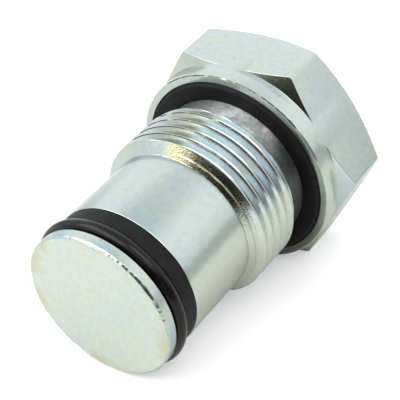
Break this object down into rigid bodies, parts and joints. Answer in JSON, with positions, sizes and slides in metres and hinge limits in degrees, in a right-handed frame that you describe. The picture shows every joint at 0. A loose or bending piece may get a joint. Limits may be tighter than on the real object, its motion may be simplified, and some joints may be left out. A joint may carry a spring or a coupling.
{
  "type": "cartridge valve cavity plug",
  "caption": "Hex-head steel blanking plug for a threaded cartridge-valve cavity, with seal rings on its nose and under its head.",
  "frame": {"origin": "centre of the head's seating face, on the plug's axis", "axes": "+X along the plug's axis from the nose to the hex head; +Z square to one hex flat; +Y towards a hex corner"},
  "size_m": [0.0456, 0.0366, 0.0318],
  "materials": {
    "zinc_plated_steel": "bright zinc plating with a faint blue passivation, over turned steel",
    "nose_ring_rubber": "smooth semi-gloss black nitrile rubber",
    "backup_ring_polymer": "matte black filled hard rubber",
    "profile_ring_rubber": "matte black nitrile rubber"
  },
  "bodies": {
    "plug": {"plug_body": "zinc_plated_steel"},
    "head_ring": {"head_profile_ring": "profile_ring_rubber"},
    "nose_ring": {"nose_o_ring": "nose_ring_rubber"},
    "backup_ring": {"nose_backup_ring": "backup_ring_polymer"}
  },
  "joints": [
    {"name": "head_ring_slide", "type": "slide", "parent": "plug", "child": "head_ring", "axis": [-1, 0, 0], "range_m": [0, 0.0028]},
    {"name": "nose_ring_slide", "type": "slide", "parent": "plug", "child": "nose_ring", "axis": [-1, 0, 0], "range_m": [0, 0.00028]},
    {"name": "backup_ring_slide", "type": "slide", "parent": "plug", "child": "backup_ring", "axis": [-1, 0, 0], "range_m": [0, 0.00028]}
  ],
  "couplings": [
    {"joint": "backup_ring_slide", "follows": "nose_ring_slide", "ratio": 1}
  ]
}
